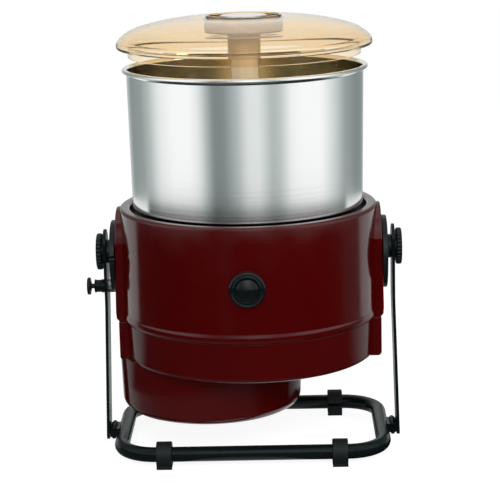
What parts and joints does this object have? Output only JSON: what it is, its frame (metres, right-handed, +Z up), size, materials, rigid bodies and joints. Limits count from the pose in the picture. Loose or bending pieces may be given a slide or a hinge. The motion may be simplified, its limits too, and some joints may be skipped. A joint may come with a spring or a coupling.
{
  "type": "wet grinder",
  "caption": "Tilting table-top wet grinder: steel drum with stone rollers over a motor body hung in a tubular stand, under a clear domed lid.",
  "frame": {"origin": "on the resting plane, under the middle of the overall box", "axes": "+Z up, the switch side faces -Y, +X runs to the right as seen from the switch side, and the body tilts about X"},
  "size_m": [0.3208, 0.269, 0.4398],
  "materials": {
    "black_enamel": "black powder coat, satin gloss",
    "black_rubber": "matte black rubber",
    "black_plastic": "black moulded plastic, satin",
    "black_gloss": "glossy black plastic",
    "maroon_gloss": "glossy dark maroon moulding",
    "stainless": "satin brushed stainless steel",
    "zinc_steel": "zinc plated steel",
    "chrome": "bright chrome plate",
    "cast_aluminium": "plain casting",
    "motor_enamel": "grey motor enamel",
    "cream_plastic": "cream food-grade plastic",
    "frosted_plastic": "white plastic",
    "amber_plastic": "transparent amber plastic, polished",
    "granite": "ground dark granite",
    "nylon": "natural nylon"
  },
  "bodies": {
    "base_frame": {"stand_frame": "black_enamel", "foot_front_left": "black_rubber", "foot_front_right": "black_rubber", "foot_back_left": "black_rubber", "foot_back_right": "black_rubber", "upright_left": "black_enamel", "upright_right": "black_enamel", "plunger_barrel": "zinc_steel", "plunger_nut": "zinc_steel"},
    "plunger": {"lock_plunger": "black_plastic"},
    "housing": {"upper_shell": "maroon_gloss", "lower_shell": "maroon_gloss", "splash_deck": "black_plastic", "chassis_plate": "zinc_steel", "bearing_housing": "cast_aluminium", "bearing_lower": "zinc_steel", "bearing_upper": "zinc_steel", "spindle_bridge": "zinc_steel", "fixed_spindle": "stainless", "spindle_nut": "zinc_steel", "index_disc_left": "black_plastic", "index_disc_right": "black_plastic", "pivot_washer_left": "nylon", "pivot_washer_right": "nylon", "pivot_bolt_left": "zinc_steel", "pivot_bolt_right": "zinc_steel", "side_bracket_left": "zinc_steel", "side_bracket_right": "zinc_steel", "motor": "motor_enamel", "motor_plate": "zinc_steel", "motor_spacer_front": "zinc_steel", "motor_spacer_back": "zinc_steel", "drive_belt": "black_rubber", "switch_bezel": "black_plastic", "switch_body": "black_plastic", "cord_gland": "black_rubber"},
    "knob_left": {"clamp_knob_left": "black_plastic"},
    "knob_right": {"clamp_knob_right": "black_plastic"},
    "button": {"switch_button": "black_gloss"},
    "rotor": {"motor_shaft": "stainless", "motor_pinion": "cast_aluminium"},
    "drum": {"drum_shell": "stainless", "base_stone": "granite", "drive_sleeve": "stainless", "drum_pulley": "cast_aluminium"},
    "roller_holder": {"holder_post": "cream_plastic", "lid_collar": "frosted_plastic", "holder_cap": "chrome", "roller_axle_left": "stainless", "roller_axle_right": "stainless"},
    "left_roller": {"roller_left": "granite", "roller_bush_left": "nylon"},
    "right_roller": {"roller_right": "granite", "roller_bush_right": "nylon"},
    "cover": {"lid": "amber_plastic"}
  },
  "joints": [
    {"name": "body_tilt", "type": "hinge", "parent": "base_frame", "child": "housing", "pos_m": [0, 0.0031, 0.203], "axis": [1, 0, 0], "range_deg": [0, 90]},
    {"name": "drum_spin", "type": "hinge", "parent": "housing", "child": "drum", "pos_m": [0.00565, 0.0031, 0.255], "axis": [0, 0, 1], "continuous": true},
    {"name": "rotor_spin", "type": "hinge", "parent": "housing", "child": "rotor", "pos_m": [-0.06635, 0.0031, 0.119], "axis": [0, 0, 1], "continuous": true},
    {"name": "holder_lift", "type": "slide", "parent": "housing", "child": "roller_holder", "axis": [0, 0, 1], "range_m": [0, 0.12]},
    {"name": "left_roller_spin", "type": "hinge", "parent": "roller_holder", "child": "left_roller", "pos_m": [-0.06535, 0.0031, 0.3123], "axis": [1, 0, 0], "continuous": true},
    {"name": "right_roller_spin", "type": "hinge", "parent": "roller_holder", "child": "right_roller", "pos_m": [0.07665, 0.0031, 0.3123], "axis": [1, 0, 0], "continuous": true},
    {"name": "lid_lift", "type": "slide", "parent": "roller_holder", "child": "cover", "axis": [0, 0, 1], "range_m": [0, 0.08]},
    {"name": "switch_press", "type": "slide", "parent": "housing", "child": "button", "axis": [0, 1, 0], "range_m": [0, 0.003], "stiffness_N_per_m": 400, "springref_m": -0.003},
    {"name": "lock_slide", "type": "slide", "parent": "base_frame", "child": "plunger", "axis": [1, 0, 0], "range_m": [0, 0.003]},
    {"name": "left_knob_turn", "type": "hinge", "parent": "housing", "child": "knob_left", "pos_m": [-0.1457, 0.0031, 0.203], "axis": [1, 0, 0], "range_deg": [0, 360]},
    {"name": "right_knob_turn", "type": "hinge", "parent": "housing", "child": "knob_right", "pos_m": [0.157, 0.0031, 0.203], "axis": [1, 0, 0], "range_deg": [0, 360]}
  ],
  "couplings": [
    {"joint": "rotor_spin", "follows": "drum_spin", "ratio": 4.4711},
    {"joint": "left_roller_spin", "follows": "drum_spin", "ratio": -2.0286},
    {"joint": "right_roller_spin", "follows": "drum_spin", "ratio": 2.0286}
  ]
}
